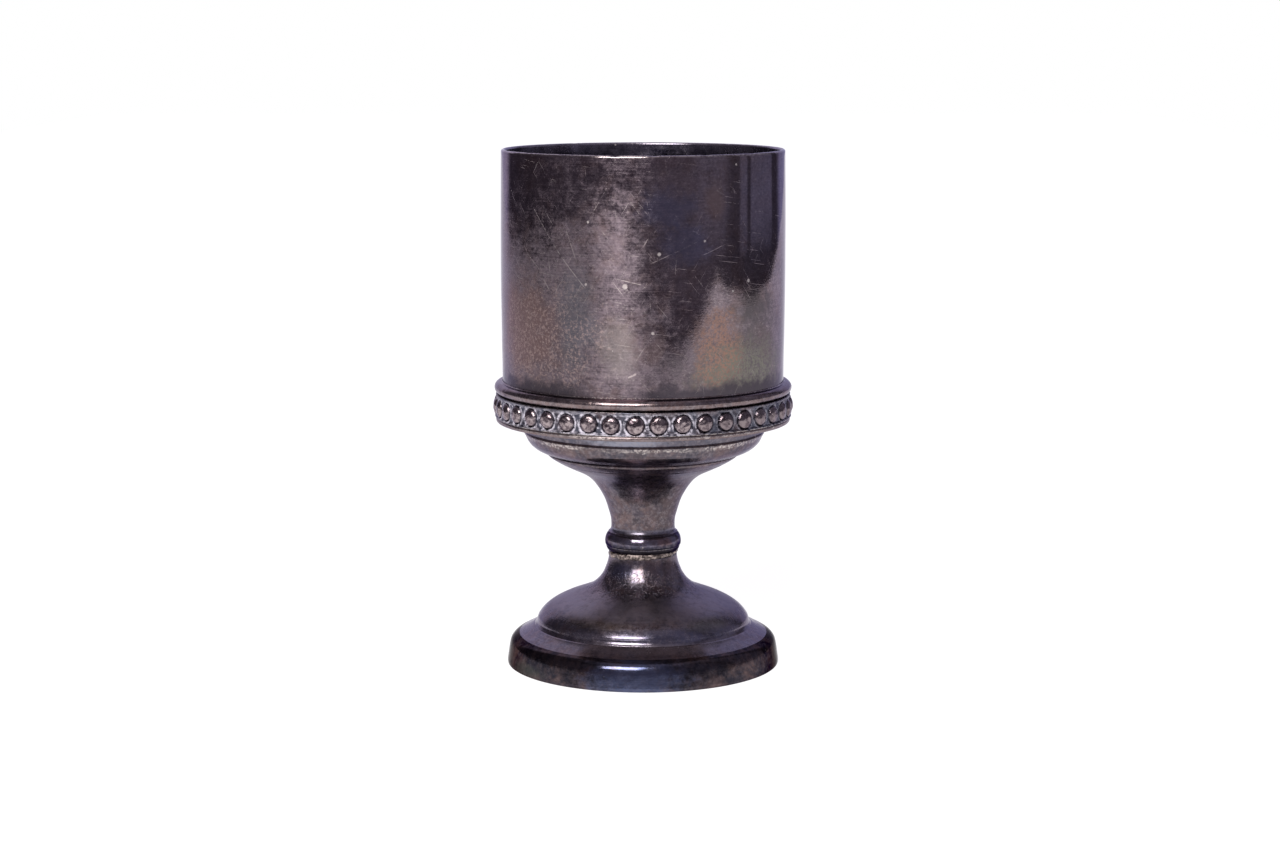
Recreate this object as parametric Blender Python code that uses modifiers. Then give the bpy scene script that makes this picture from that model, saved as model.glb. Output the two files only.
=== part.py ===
"""A small silver-plated communion chalice, as the separate pieces it comes apart into.

Every piece is turned about +Z. Lengths are in millimetres here and become metres when a
mesh is made. The origin is the centre of the circle that the foot stands on.
"""

import math

import bmesh
import bpy

MM = 0.001
GAP = 0.3  # between two pieces that touch on the real object
WALL = 1.2  # spun sheet

# Heights of the joints, from the table up.
HEIGHT = 130.0
COLLAR_TOP = 72.1
BAND_TOP = 68.85
BAND_BOTTOM = 63.25
PLATE_TOP = 62.93
PLATE_BOTTOM = 62.15
DISH_TOP = PLATE_BOTTOM - GAP
DISH_BOTTOM = 53.95
STEM_TOP = DISH_BOTTOM - GAP
STEM_BOTTOM = 33.5
KNOP_TOP = STEM_BOTTOM - GAP
KNOP_BOTTOM = 28.75
SOLDER_TOP = KNOP_BOTTOM - GAP
SOLDER_BOTTOM = 27.95
FOOT_TOP = SOLDER_BOTTOM - GAP
STEP_HEIGHT = 7.45  # where the dome's skirt ends on the plinth

# Radii from the axis.
CUP_RADIUS = 35.33
CUP_BULGE = 0.27
CUP_WALL = 1.1
CUP_FLOOR = 1.2
FLOOR_FILLET = 3.0
TRIM_BORE = CUP_RADIUS + 0.37  # inside of the two rings round the cup
COLLAR_RADIUS = 37.36
FIELD_RADIUS = 36.85
LIP_RADIUS = 37.25
PLATE_RADIUS = 37.15
PEARL_COUNT = 40
PEARL_RADIUS = 2.13
PEARL_RISE = 0.9  # of a pearl's crown above the field
FIRST_PEARL = math.radians(-93.1)  # -90 degrees is the front, -Y
PLINTH_RADIUS = 34.5
PLINTH_BORE = 32.6
STEM_BORE = 6.8

# The fixing inside: one rod pulls the foot up against the bowl.
ROD_RADIUS = 3.0
ROD_BOTTOM = 10.0
ROD_TOP = 61.0
BOSS_RADIUS = 6.5
BOSS_BOTTOM = 55.6
WASHER_RADIUS = 11.8
WASHER_TOP = 18.6
WASHER_BOTTOM = 17.0
NUT_FLATS = 10.0
NUT_HEIGHT = 5.0

SEGMENTS = 40  # facets round a turned piece
FINE_SEGMENTS = 80  # round the beaded band, two to a pearl

# Base colour, roughness: plate that has tarnished brown, darker or paler by the piece.
PLATE_FINISHES = {
    "dark_plate": ((0.16, 0.14, 0.15), 0.32),
    "cup_plate": ((0.20, 0.17, 0.17), 0.30),
    "bead_plate": ((0.30, 0.27, 0.26), 0.38),
    "worn_edge": ((0.55, 0.50, 0.44), 0.35),
    "solder_grey": ((0.42, 0.38, 0.33), 0.60),
    "raw_brass": ((0.45, 0.33, 0.16), 0.42),
}


def arc(centre, radii, start, end, steps):
    """Points on an ellipse in the (radius, height) plane, from start to end in degrees."""
    angles = [math.radians(start + (end - start) * step / steps) for step in range(steps + 1)]
    return [(centre[0] + radii[0] * math.cos(a), centre[1] + radii[1] * math.sin(a)) for a in angles]


def curve_through(points, steps):
    """A smooth (Catmull-Rom) curve through the points, with steps pieces between each pair."""
    ends = [points[0]] + list(points) + [points[-1]]
    curve = [points[0]]
    for before, start, end, after in zip(ends, ends[1:], ends[2:], ends[3:]):
        for step in range(1, steps + 1):
            t = step / steps
            weights = (-t + 2 * t**2 - t**3, 2 - 5 * t**2 + 3 * t**3, t + 4 * t**2 - 3 * t**3, t**3 - t**2)
            knots = (before, start, end, after)
            curve.append(tuple(sum(w * knot[axis] for w, knot in zip(weights, knots)) / 2 for axis in (0, 1)))
    return curve


def inner_side(outer, wall):
    """The outline that lies a wall's thickness inside an outer one that runs top to bottom."""
    inner = []
    for index, (radius, height) in enumerate(outer):
        before = outer[max(index - 1, 0)]
        after = outer[min(index + 1, len(outer) - 1)]
        along = (after[0] - before[0], after[1] - before[1])
        length = math.hypot(*along)
        inner.append((radius + wall * along[1] / length, height - wall * along[0] / length))
    return inner


def plate_material(name):
    """A plain metal in one of the finishes above."""
    if name in bpy.data.materials:
        return bpy.data.materials[name]
    colour, roughness = PLATE_FINISHES[name]
    material = bpy.data.materials.new(name)
    material.use_nodes = True
    shader = material.node_tree.nodes["Principled BSDF"]
    shader.inputs["Base Color"].default_value = (*colour, 1.0)
    shader.inputs["Roughness"].default_value = roughness
    shader.inputs["Metallic"].default_value = 1.0
    return material


def place(name, mesh, finish, collection):
    """Puts a mesh in the scene as one named piece of the chalice."""
    piece = bpy.data.objects.new(name, mesh)
    collection.objects.link(piece)
    mesh.materials.append(plate_material(finish))
    return piece


def turned(name, outline, finish, collection, closed=True, segments=SEGMENTS):
    """A turned piece. Its outline of (radius, height) points runs down its outer side."""
    points = [(radius * MM, 0.0, height * MM) for radius, height in outline]
    count = len(points)
    edges = [(index, (index + 1) % count) for index in range(count if closed else count - 1)]
    mesh = bpy.data.meshes.new(name)
    mesh.from_pydata(points, edges, [])
    piece = place(name, mesh, finish, collection)
    screw = piece.modifiers.new("turn", "SCREW")
    screw.axis = "Z"
    screw.angle = math.tau
    screw.steps = segments
    screw.render_steps = segments
    screw.use_merge_vertices = True
    screw.merge_threshold = 0.00001
    screw.use_smooth_shade = True
    return piece


def cup_outer_radius(height):
    """The beaker swells a little between the collar and the rim."""
    along = (height - COLLAR_TOP) / (HEIGHT - COLLAR_TOP)
    return CUP_RADIUS + CUP_BULGE * math.sin(math.pi * min(max(along, 0.0), 1.0))


def make_cup(collection):
    """The beaker: floor, fillet and straight side in one, with a rounded rim."""
    rim_radius = CUP_WALL / 2
    rim_centre = (CUP_RADIUS - rim_radius, HEIGHT - rim_radius)
    bore = CUP_RADIUS - CUP_WALL
    floor = BAND_BOTTOM + CUP_FLOOR
    fillet_centre = (bore - FLOOR_FILLET, floor + FLOOR_FILLET)
    outline = [(0.0, floor)]
    outline += arc(fillet_centre, (FLOOR_FILLET, FLOOR_FILLET), -90, 0, 4)
    outline += arc(rim_centre, (rim_radius, rim_radius), 180, 0, 6)
    sides = 6
    for step in range(1, sides + 1):
        height = rim_centre[1] + (COLLAR_TOP - rim_centre[1]) * step / sides
        outline.append((cup_outer_radius(height), height))
    outline += [(CUP_RADIUS, BAND_BOTTOM + 0.6), (CUP_RADIUS - 0.6, BAND_BOTTOM), (0.0, BAND_BOTTOM)]
    turned("cup", outline, "cup_plate", collection, closed=False)


def make_collar(collection):
    """The half-round wire above the beads."""
    bottom = BAND_TOP + GAP
    centre = (TRIM_BORE, (COLLAR_TOP + bottom) / 2)
    radii = (COLLAR_RADIUS - TRIM_BORE, (COLLAR_TOP - bottom) / 2)
    turned("collar_moulding", arc(centre, radii, 90, -90, 8), "dark_plate", collection)


def pearl_solid(angle):
    """One pearl as a flattened ball, half sunk in the field of the band."""
    height = (BAND_TOP + BAND_BOTTOM) / 2
    bm = bmesh.new()
    bmesh.ops.create_uvsphere(bm, u_segments=8, v_segments=4, radius=PEARL_RADIUS * MM)
    bmesh.ops.scale(bm, verts=bm.verts, vec=(PEARL_RISE / PEARL_RADIUS, 1.0, 1.0))
    mesh = bpy.data.meshes.new("pearl")
    bm.to_mesh(mesh)
    bm.free()
    pearl = bpy.data.objects.new("pearl", mesh)
    pearl.location = (FIELD_RADIUS * math.cos(angle) * MM, FIELD_RADIUS * math.sin(angle) * MM, height * MM)
    pearl.rotation_euler = (0.0, 0.0, angle)
    return pearl


def make_bead_band(collection, cutters):
    """The cast strip: a sunk field between two thin lips, and a row of pearls on it."""
    outline = [
        (TRIM_BORE, BAND_TOP),
        (LIP_RADIUS - 0.25, BAND_TOP),
        (LIP_RADIUS - 0.25, BAND_TOP - 0.35),
        (FIELD_RADIUS, BAND_TOP - 0.55),
        (FIELD_RADIUS, BAND_BOTTOM + 0.75),
        (LIP_RADIUS, BAND_BOTTOM + 0.5),
        (LIP_RADIUS, BAND_BOTTOM),
        (TRIM_BORE, BAND_BOTTOM),
    ]
    band = turned("bead_band", outline, "bead_plate", collection, segments=FINE_SEGMENTS)
    pearls = bpy.data.collections.new("pearls")
    cutters.children.link(pearls)
    for index in range(PEARL_COUNT):
        pearl = pearl_solid(FIRST_PEARL + math.tau * index / PEARL_COUNT)
        pearl.hide_render = True
        pearl.display_type = "WIRE"
        pearls.objects.link(pearl)
    union = band.modifiers.new("pearls", "BOOLEAN")
    union.operation = "UNION"
    union.operand_type = "COLLECTION"
    union.collection = pearls


def make_base_plate(collection):
    """The thin disc under the cup, whose edge shows below the beads."""
    outline = [(0.0, PLATE_TOP), (PLATE_RADIUS - 0.15, PLATE_TOP), (PLATE_RADIUS, PLATE_TOP - 0.2)]
    outline += [(PLATE_RADIUS - 0.05, PLATE_BOTTOM), (0.0, PLATE_BOTTOM)]
    turned("base_plate", outline, "worn_edge", collection, closed=False)


def make_bowl_dish(collection):
    """The shallow dish under the cup: a coved rim, a rounded side and a flat flange inside."""
    outer = [(30.0, DISH_TOP), (29.8, 60.6), (30.05, 59.3)]
    outer += curve_through([(29.75, 58.6), (28.75, 56.7), (26.9, 55.1), (24.6, DISH_BOTTOM + 0.2)], 2)
    inner = inner_side(outer, WALL)
    inner[0] = (inner[0][0], DISH_TOP)
    flange = [(24.3, DISH_BOTTOM), (12.0, DISH_BOTTOM), (12.0, DISH_BOTTOM + WALL)]
    turned("bowl_dish", outer + flange + inner[:1:-1] + [inner[0]], "dark_plate", collection)


def make_stem(collection):
    """The trumpet that flares from the waist to the dish."""
    flare = [(24.0, 53.2), (21.6, 51.75), (18.6, 50.25), (15.4, 48.75), (13.2, 47.2)]
    flare += [(11.4, 45.0), (9.7, 42.0), (8.7, 39.0), (8.1, 36.0), (8.05, 34.8), (8.7, STEM_BOTTOM)]
    outer = [(24.1, STEM_TOP)] + curve_through(flare, 1)
    inner = inner_side(outer, WALL)
    inner[0] = (22.2, STEM_TOP)
    inner[1] = (22.1, 53.4)
    inner[-1] = (STEM_BORE, STEM_BOTTOM)
    turned("stem", outer + inner[::-1], "dark_plate", collection)


def make_knop(collection):
    """The ring at the waist: a half-round, cut back by a small step below its middle."""
    middle = (8.35, 31.0)
    outline = [(STEM_BORE, KNOP_TOP)] + arc(middle, (1.3, 2.35), 69, -17, 6)
    outline += arc(middle, (1.15, 2.45), -20, -66, 3) + [(STEM_BORE, KNOP_BOTTOM)]
    turned("knop_ring", outline, "dark_plate", collection)


def make_joint_solder(collection):
    """The uneven line of solder that closes the joint between the knop and the foot."""
    centre = (8.55, (SOLDER_TOP + SOLDER_BOTTOM) / 2)
    half = (SOLDER_TOP - SOLDER_BOTTOM) / 2
    outline = [(7.2, SOLDER_TOP)] + arc(centre, (0.35, half), 90, -90, 4) + [(7.2, SOLDER_BOTTOM)]
    turned("joint_solder", outline, "solder_grey", collection)


def make_foot_dome(collection):
    """The spun foot: neck, dome, and the cove that spreads onto the plinth."""
    neck = [(8.75, FOOT_TOP), (8.9, 26.2), (9.4, 24.7), (10.3, 22.5), (11.7, 20.7), (13.9, 19.1)]
    dome = [(17.3, 17.7), (20.4, 16.5), (23.3, 15.0), (25.2, 13.5), (26.35, 12.0)]
    cove = [(26.95, 10.9), (27.9, 9.7), (29.3, 8.65), (31.5, STEP_HEIGHT)]
    outer = curve_through(neck + dome + cove, 1)
    inner = inner_side(outer, WALL)
    inner[0] = (inner[0][0], FOOT_TOP)
    turned("foot_dome", outer + inner[::-1], "dark_plate", collection)


def make_foot_plinth(collection):
    """The band that the foot stands on, with a ledge inside that carries the dome."""
    shoulder = [(32.0, 7.15), (33.35, 6.2), (33.95, 4.8), (34.25, 2.9)]
    ledge = [(PLINTH_BORE, 4.2), (30.0, 4.9), (30.0, 5.7), (31.8, 5.6)]
    outline = shoulder + [(PLINTH_RADIUS, 0.8), (PLINTH_RADIUS, 0.0), (PLINTH_BORE, 0.0)] + ledge
    turned("foot_plinth", outline, "dark_plate", collection)


def make_foot_rim_wire(collection):
    """The round wire that stiffens the foot's lower edge from inside."""
    radius = 0.8
    centre = (PLINTH_BORE - GAP - radius, radius)
    turned("foot_rim_wire", arc(centre, (radius, radius), 90, -225, 7), "dark_plate", collection)


def make_tie_rod(collection):
    """The rod from the boss under the cup to the nut inside the foot."""
    chamfer = 0.5
    outline = [(0.0, ROD_TOP), (ROD_RADIUS - chamfer, ROD_TOP), (ROD_RADIUS, ROD_TOP - chamfer)]
    outline += [(ROD_RADIUS, ROD_BOTTOM + chamfer), (ROD_RADIUS - chamfer, ROD_BOTTOM), (0.0, ROD_BOTTOM)]
    turned("tie_rod", outline, "raw_brass", collection, closed=False, segments=SEGMENTS // 2)


def make_rod_boss(collection):
    """The boss under the base plate, with a blind hole that the rod screws into."""
    bore = ROD_RADIUS + GAP
    outline = [(0.0, DISH_TOP), (BOSS_RADIUS, DISH_TOP), (BOSS_RADIUS, BOSS_BOTTOM + 0.5)]
    outline += [(BOSS_RADIUS - 0.5, BOSS_BOTTOM), (bore, BOSS_BOTTOM)]
    outline += [(bore, ROD_TOP + GAP), (0.0, ROD_TOP + GAP)]
    turned("rod_boss", outline, "raw_brass", collection, closed=False, segments=SEGMENTS // 2)


def make_foot_washer(collection):
    """The wide washer that bears on the inside of the foot's neck."""
    bore = ROD_RADIUS + GAP
    outline = [(bore, WASHER_TOP), (WASHER_RADIUS - 0.4, WASHER_TOP), (WASHER_RADIUS, WASHER_TOP - 0.4)]
    outline += [(WASHER_RADIUS, WASHER_BOTTOM), (bore, WASHER_BOTTOM)]
    turned("foot_washer", outline, "raw_brass", collection)


def make_foot_nut(collection, cutters):
    """The hexagon nut on the rod's lower end, its corners chamfered and its hole clear."""
    top = WASHER_BOTTOM - GAP
    middle = top - NUT_HEIGHT / 2
    corner = NUT_FLATS / 2 / math.cos(math.pi / 6)
    bm = bmesh.new()
    bmesh.ops.create_cone(
        bm, cap_ends=True, segments=6, radius1=corner * MM, radius2=corner * MM, depth=NUT_HEIGHT * MM
    )
    bmesh.ops.translate(bm, verts=bm.verts, vec=(0.0, 0.0, middle * MM))
    mesh = bpy.data.meshes.new("foot_nut")
    bm.to_mesh(mesh)
    bm.free()
    nut = place("foot_nut", mesh, "raw_brass", collection)
    reach = corner + 0.05
    crown = NUT_FLATS / 2 - 0.1
    taper = [(0.0, top + 0.2), (crown, top + 0.2), (reach, top - 0.5), (reach, top - NUT_HEIGHT + 0.5)]
    taper += [(crown, top - NUT_HEIGHT - 0.2), (0.0, top - NUT_HEIGHT - 0.2)]
    chamfer = turned("nut_chamfer", taper, "raw_brass", cutters, closed=False)
    bore = [(0.0, top + 2), (ROD_RADIUS + GAP, top + 2), (ROD_RADIUS + GAP, top - NUT_HEIGHT - 2)]
    hole = turned("nut_hole", bore + [(0.0, top - NUT_HEIGHT - 2)], "raw_brass", cutters, closed=False, segments=20)
    for cutter, operation in ((chamfer, "INTERSECT"), (hole, "DIFFERENCE")):
        cutter.hide_render = True
        cutter.display_type = "WIRE"
        cut = nut.modifiers.new(cutter.name, "BOOLEAN")
        cut.operation = operation
        cut.object = cutter


def main():
    for old in list(bpy.data.objects):
        bpy.data.objects.remove(old)
    chalice = bpy.data.collections.new("communion_chalice")
    cutters = bpy.data.collections.new("cutters")
    bpy.context.scene.collection.children.link(chalice)
    bpy.context.scene.collection.children.link(cutters)
    make_cup(chalice)
    make_collar(chalice)
    make_bead_band(chalice, cutters)
    make_base_plate(chalice)
    make_bowl_dish(chalice)
    make_stem(chalice)
    make_knop(chalice)
    make_joint_solder(chalice)
    make_foot_dome(chalice)
    make_foot_plinth(chalice)
    make_foot_rim_wire(chalice)
    make_tie_rod(chalice)
    make_rod_boss(chalice)
    make_foot_washer(chalice)
    make_foot_nut(chalice, cutters)


main()
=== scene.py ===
"""The looks of a small silver-plated communion chalice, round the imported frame.

Every CAD node is replaced by a finely turned piece that follows the same outline. Outlines are
in millimetres, as in the CAD source, and become metres when a mesh is made. Angles round the
axis are in degrees from the front (-Y), positive towards +X.
"""

import math

import bmesh
import bpy
import numpy as np
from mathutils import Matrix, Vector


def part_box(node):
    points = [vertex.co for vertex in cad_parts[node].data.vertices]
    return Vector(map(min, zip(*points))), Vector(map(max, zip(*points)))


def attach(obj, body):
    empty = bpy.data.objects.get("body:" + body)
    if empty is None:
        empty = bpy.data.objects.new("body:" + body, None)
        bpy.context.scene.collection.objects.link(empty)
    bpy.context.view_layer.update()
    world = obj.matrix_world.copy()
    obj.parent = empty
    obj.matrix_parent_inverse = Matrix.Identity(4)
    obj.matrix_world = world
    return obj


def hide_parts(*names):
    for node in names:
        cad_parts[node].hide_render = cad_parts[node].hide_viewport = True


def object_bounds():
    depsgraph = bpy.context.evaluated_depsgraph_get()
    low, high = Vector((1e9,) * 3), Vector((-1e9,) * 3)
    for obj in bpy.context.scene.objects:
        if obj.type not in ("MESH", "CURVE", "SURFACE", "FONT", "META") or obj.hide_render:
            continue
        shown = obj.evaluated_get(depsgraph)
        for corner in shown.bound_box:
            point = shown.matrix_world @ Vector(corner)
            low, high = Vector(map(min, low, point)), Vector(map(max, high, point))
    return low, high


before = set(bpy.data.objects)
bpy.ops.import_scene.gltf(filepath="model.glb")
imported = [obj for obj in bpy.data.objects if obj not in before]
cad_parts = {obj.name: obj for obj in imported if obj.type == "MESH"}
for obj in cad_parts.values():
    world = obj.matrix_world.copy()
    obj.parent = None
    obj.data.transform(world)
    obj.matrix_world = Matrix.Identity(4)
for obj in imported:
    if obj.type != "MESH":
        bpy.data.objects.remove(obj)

MM = 0.001
CAD_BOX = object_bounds()

# The outline's main heights, read from the frame.
HEIGHT = CAD_BOX[1].z / MM
COLLAR_BOTTOM, COLLAR_TOP = (corner.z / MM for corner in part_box("collar_moulding"))
BAND_BOTTOM, BAND_TOP = (corner.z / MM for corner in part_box("bead_band"))
PLATE_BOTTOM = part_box("base_plate")[0].z / MM
DISH_BOTTOM, DISH_TOP = (corner.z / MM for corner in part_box("bowl_dish"))
STEM_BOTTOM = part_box("stem")[0].z / MM
KNOP_BOTTOM, KNOP_TOP = (corner.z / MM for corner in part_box("knop_ring"))
FOOT_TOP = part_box("foot_dome")[1].z / MM
SOLDER_HEIGHT = (KNOP_BOTTOM + FOOT_TOP) / 2
NUT_BOTTOM, NUT_TOP = (corner.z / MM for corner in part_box("foot_nut"))
WASHER_BOTTOM, WASHER_TOP = (corner.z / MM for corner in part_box("foot_washer"))
BOSS_BOTTOM, BOSS_TOP = (corner.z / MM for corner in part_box("rod_boss"))
ROD_BOTTOM, ROD_TOP = (corner.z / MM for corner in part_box("tie_rod"))

# Radii and wall thicknesses.
CUP_RADIUS = 35.33
CUP_BULGE = 0.27  # how far the beaker swells at mid height
CUP_WALL = 1.1
TRIM_BORE = CUP_RADIUS + 0.03  # inside of the two rings round the cup
COLLAR_RADIUS = 37.36
FIELD_RADIUS = 36.85
PEARL_COUNT = 40
PEARL_RADIUS = 2.13
PEARL_RISE = 0.9  # of a pearl's crown above the field
FIRST_PEARL = -3.1  # degrees from the front
WALL = 1.2  # spun sheet
HAIRLINE = 0.04  # what is left of the joint between two pieces
STEM_BORE = 6.8
PLINTH_BORE = 32.6
STEP_HEIGHT = 7.45  # where the skirt of the dome meets the plinth
ROD_RADIUS = 3.0
BOSS_RADIUS = 6.5
WASHER_RADIUS = 11.8
FIXING_BORE = 3.3  # of the boss, washer and nut round the rod
HALF_NUT = 5.0  # from the axis to one of the nut's flats
THREAD_PITCH = 0.8
EDGE_TINT = (0.62, 0.60, 0.70)  # what the plate mirrors at a glancing angle


# ---------------------------------------------------------------- outlines


def arc(centre, radii, start, end, steps):
    """Points on an ellipse in the (radius, height) plane, from start to end in degrees."""
    angles = np.radians(np.linspace(start, end, steps + 1))
    return [(centre[0] + radii[0] * math.cos(a), centre[1] + radii[1] * math.sin(a)) for a in angles]


def curve_through(points, steps):
    """A smooth (Catmull-Rom) curve through the points, with steps pieces between each pair."""
    ends = [points[0]] + list(points) + [points[-1]]
    curve = [points[0]]
    for before, start, end, after in zip(ends, ends[1:], ends[2:], ends[3:]):
        for step in range(1, steps + 1):
            t = step / steps
            weights = (-t + 2 * t**2 - t**3, 2 - 5 * t**2 + 3 * t**3, t + 4 * t**2 - 3 * t**3, t**3 - t**2)
            knots = (before, start, end, after)
            curve.append(tuple(sum(w * knot[axis] for w, knot in zip(weights, knots)) / 2 for axis in (0, 1)))
    return curve


def straight(start, end, steps):
    """Evenly spaced points on a straight stretch, without its first point."""
    return [tuple(a + (b - a) * step / steps for a, b in zip(start, end)) for step in range(1, steps + 1)]


def sideways(outline):
    """The unit vector that points to the left of the way the outline runs, at each point."""
    points = np.array(outline)
    along = np.gradient(points, axis=0)
    along /= np.linalg.norm(along, axis=1)[:, None]
    return np.stack([-along[:, 1], along[:, 0]], axis=1)


def inner_side(outer, wall):
    """The outline that lies a wall's thickness inside an outer one that runs top to bottom."""
    return [tuple(point) for point in np.array(outer) - wall * sideways(outer)]


def scored(outline, lines):
    """The outline with fine turned lines in it, each (height, depth, width)."""
    points = np.array(outline)
    normals = sideways(outline)
    for height, depth, width in lines:
        nearest = points[np.argmin(abs(points[:, 1] - height))]
        away = np.linalg.norm(points - nearest, axis=1)
        points = points - normals * (depth * np.exp(-((away / width) ** 2)))[:, None]
    return [tuple(point) for point in points]


# ---------------------------------------------------------------- meshes


def ripple(points, wavelength, seed, waves=14):
    """A smooth random field from -1 to 1 or so: plane waves in random directions."""
    random = np.random.default_rng(seed)
    directions = random.normal(size=(waves, 3))
    directions /= np.linalg.norm(directions, axis=1)[:, None]
    pushes = directions * (math.tau / wavelength) * random.uniform(0.7, 1.3, (waves, 1))
    phases = random.uniform(0, math.tau, waves)
    field = np.zeros(points.shape[:-1])
    for push, phase in zip(pushes, phases):
        field += np.cos(points @ push + phase)
    return field / math.sqrt(waves / 2) / 1.6


def on_axis(angle, radius, height):
    """Points in millimetres from an angle in degrees from the front, a radius and a height."""
    turn = np.radians(angle)
    return np.stack([radius * np.sin(turn), -radius * np.cos(turn), height + 0 * radius * turn], axis=-1)


def lathe(name, outline, segments, shape=None, closed=True):
    """A turned piece. Its outline of (radius, height) points runs down its outer side.

    shape(angle, radius, height) may return new radii and heights, and named shares per point.
    """
    rows = np.array(outline)
    angle = np.linspace(0, 360, segments, endpoint=False) + 180
    angle, radius = np.meshgrid(angle, rows[:, 0])
    height = np.repeat(rows[:, 1][:, None], segments, axis=1)
    shares = {}
    if shape:
        radius, height, shares = shape(angle, radius, height)
    points = on_axis(angle, radius, height)
    count = len(rows)
    index = np.arange(count * segments).reshape(count, segments)
    below = np.roll(index, -1, axis=0)
    if not closed:
        index, below = index[:-1], below[:-1]
    corners = (index, below, np.roll(below, -1, axis=1), np.roll(index, -1, axis=1))
    faces = np.stack(corners, axis=-1).reshape(-1, 4)
    mesh = bpy.data.meshes.new(name)
    mesh.from_pydata((points.reshape(-1, 3) * MM).tolist(), [], faces.tolist())
    for share, values in shares.items():
        attribute = mesh.attributes.new(share, "FLOAT", "POINT")
        attribute.data.foreach_set("value", values.astype(np.float32).ravel())
    if not closed:
        close_on_axis(mesh)
    mesh.shade_smooth()
    return mesh


def close_on_axis(mesh):
    """Joins the points that lie on the axis, so that an open outline closes there."""
    bm = bmesh.new()
    bm.from_mesh(mesh)
    middle = [v for v in bm.verts if math.hypot(v.co.x, v.co.y) < 1e-6]
    bmesh.ops.remove_doubles(bm, verts=middle, dist=1e-6)
    bm.to_mesh(mesh)
    bm.free()


def piece(name, mesh, material, slot, *nodes):
    """Puts a mesh in the scene in the place of one or more CAD nodes."""
    made = bpy.data.objects.new(name, mesh)
    bpy.context.scene.collection.objects.link(made)
    mesh.materials.append(material)
    mesh.set_sharp_from_angle(angle=math.radians(50))
    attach(made, "root")
    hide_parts(*nodes)
    return made


# ---------------------------------------------------------------- shader graph


class Graph:
    """Short calls that add shader nodes to a tree and join them up."""

    def __init__(self, tree):
        self.tree = tree

    def feed(self, socket, value):
        """Gives a socket a value, or joins another node's output to it."""
        if isinstance(value, bpy.types.NodeSocket):
            self.tree.links.new(value, socket)
        elif socket.type == "RGBA" and len(value) == 3:
            socket.default_value = (*value, 1.0)
        else:
            socket.default_value = value

    def node(self, kind, inputs, **settings):
        """Adds a node, with its settings and what goes into it."""
        made = self.tree.nodes.new(kind)
        for key, value in settings.items():
            setattr(made, key, value)
        for key, value in inputs.items():
            self.feed(made.inputs[key], value)
        return made

    def calc(self, operation, *values):
        return self.node("ShaderNodeMath", dict(enumerate(values)), operation=operation).outputs[0]

    def times(self, *values):
        """The product of all the values."""
        product = values[0]
        for value in values[1:]:
            product = self.calc("MULTIPLY", product, value)
        return product

    def plus(self, *values):
        """The sum of all the values."""
        total = values[0]
        for value in values[1:]:
            total = self.calc("ADD", total, value)
        return total

    def vector(self, operation, *values):
        made = self.node("ShaderNodeVectorMath", dict(enumerate(values)), operation=operation)
        return made.outputs["Value" if operation in ("LENGTH", "DOT_PRODUCT", "DISTANCE") else "Vector"]

    def scaled(self, vector, factor):
        return self.node("ShaderNodeVectorMath", {0: vector, "Scale": factor}, operation="SCALE").outputs[0]

    def step(self, value, low, high, start=0.0, end=1.0):
        """A smooth step from start to end as value goes from low to high."""
        inputs = {"Value": value, "From Min": low, "From Max": high, "To Min": start, "To Max": end}
        return self.node("ShaderNodeMapRange", inputs, interpolation_type="SMOOTHSTEP").outputs[0]

    def blend(self, share, first, second):
        """A colour that is first at a share of 0 and second at 1."""
        made = self.node("ShaderNodeMix", {0: share, 6: first, 7: second}, data_type="RGBA")
        return made.outputs[2]

    def noise(self, vector, scale, detail=3.0, roughness=0.55, w=None, distortion=0.0):
        inputs = {"Vector": vector, "Scale": scale, "Detail": detail, "Roughness": roughness}
        inputs["Distortion"] = distortion
        if w is None:
            return self.node("ShaderNodeTexNoise", inputs).outputs[0]
        inputs["W"] = w
        return self.node("ShaderNodeTexNoise", inputs, noise_dimensions="4D").outputs[0]

    def cells(self, vector, scale, feature="F1"):
        made = self.node("ShaderNodeTexVoronoi", {"Vector": vector, "Scale": scale}, feature=feature)
        return made.outputs["Distance"], made.outputs["Color"]


def surface_places(graph):
    """Where a shading point is: position in mm, radius, and (arc length, height) on the cup."""
    position = graph.scaled(graph.node("ShaderNodeTexCoord", {}).outputs["Object"], 1 / MM)
    split = graph.node("ShaderNodeSeparateXYZ", {0: position}).outputs
    radius = graph.calc("SQRT", graph.plus(graph.times(split[0], split[0]), graph.times(split[1], split[1])))
    turn = graph.calc("ARCTAN2", split[0], graph.times(split[1], -1.0))
    arc_length = graph.times(turn, CUP_RADIUS)
    flat = graph.node("ShaderNodeCombineXYZ", {0: arc_length, 1: split[2], 2: 0.0}).outputs[0]
    return position, radius, split[2], flat


def turned_marks(graph, position, radius, along, across):
    """Noise drawn out round the axis, as a polishing wheel leaves it."""
    stretched = graph.vector("MULTIPLY", position, (along, along, across))
    return graph.noise(stretched, 1.0, 3.0, 0.6, w=graph.times(radius, across))


def hairlines(graph, flat, slant, fineness, keep):
    """Fine straight scratches that lean by slant degrees."""
    turned = graph.node("ShaderNodeVectorRotate", {"Vector": flat, "Angle": math.radians(slant)})
    stretched = graph.vector("MULTIPLY", turned.outputs[0], (0.09, fineness, 1.0))
    field = graph.noise(stretched, 1.0, 2.0, 0.5, distortion=0.15)
    return graph.step(field, keep, keep + 0.05)


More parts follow.
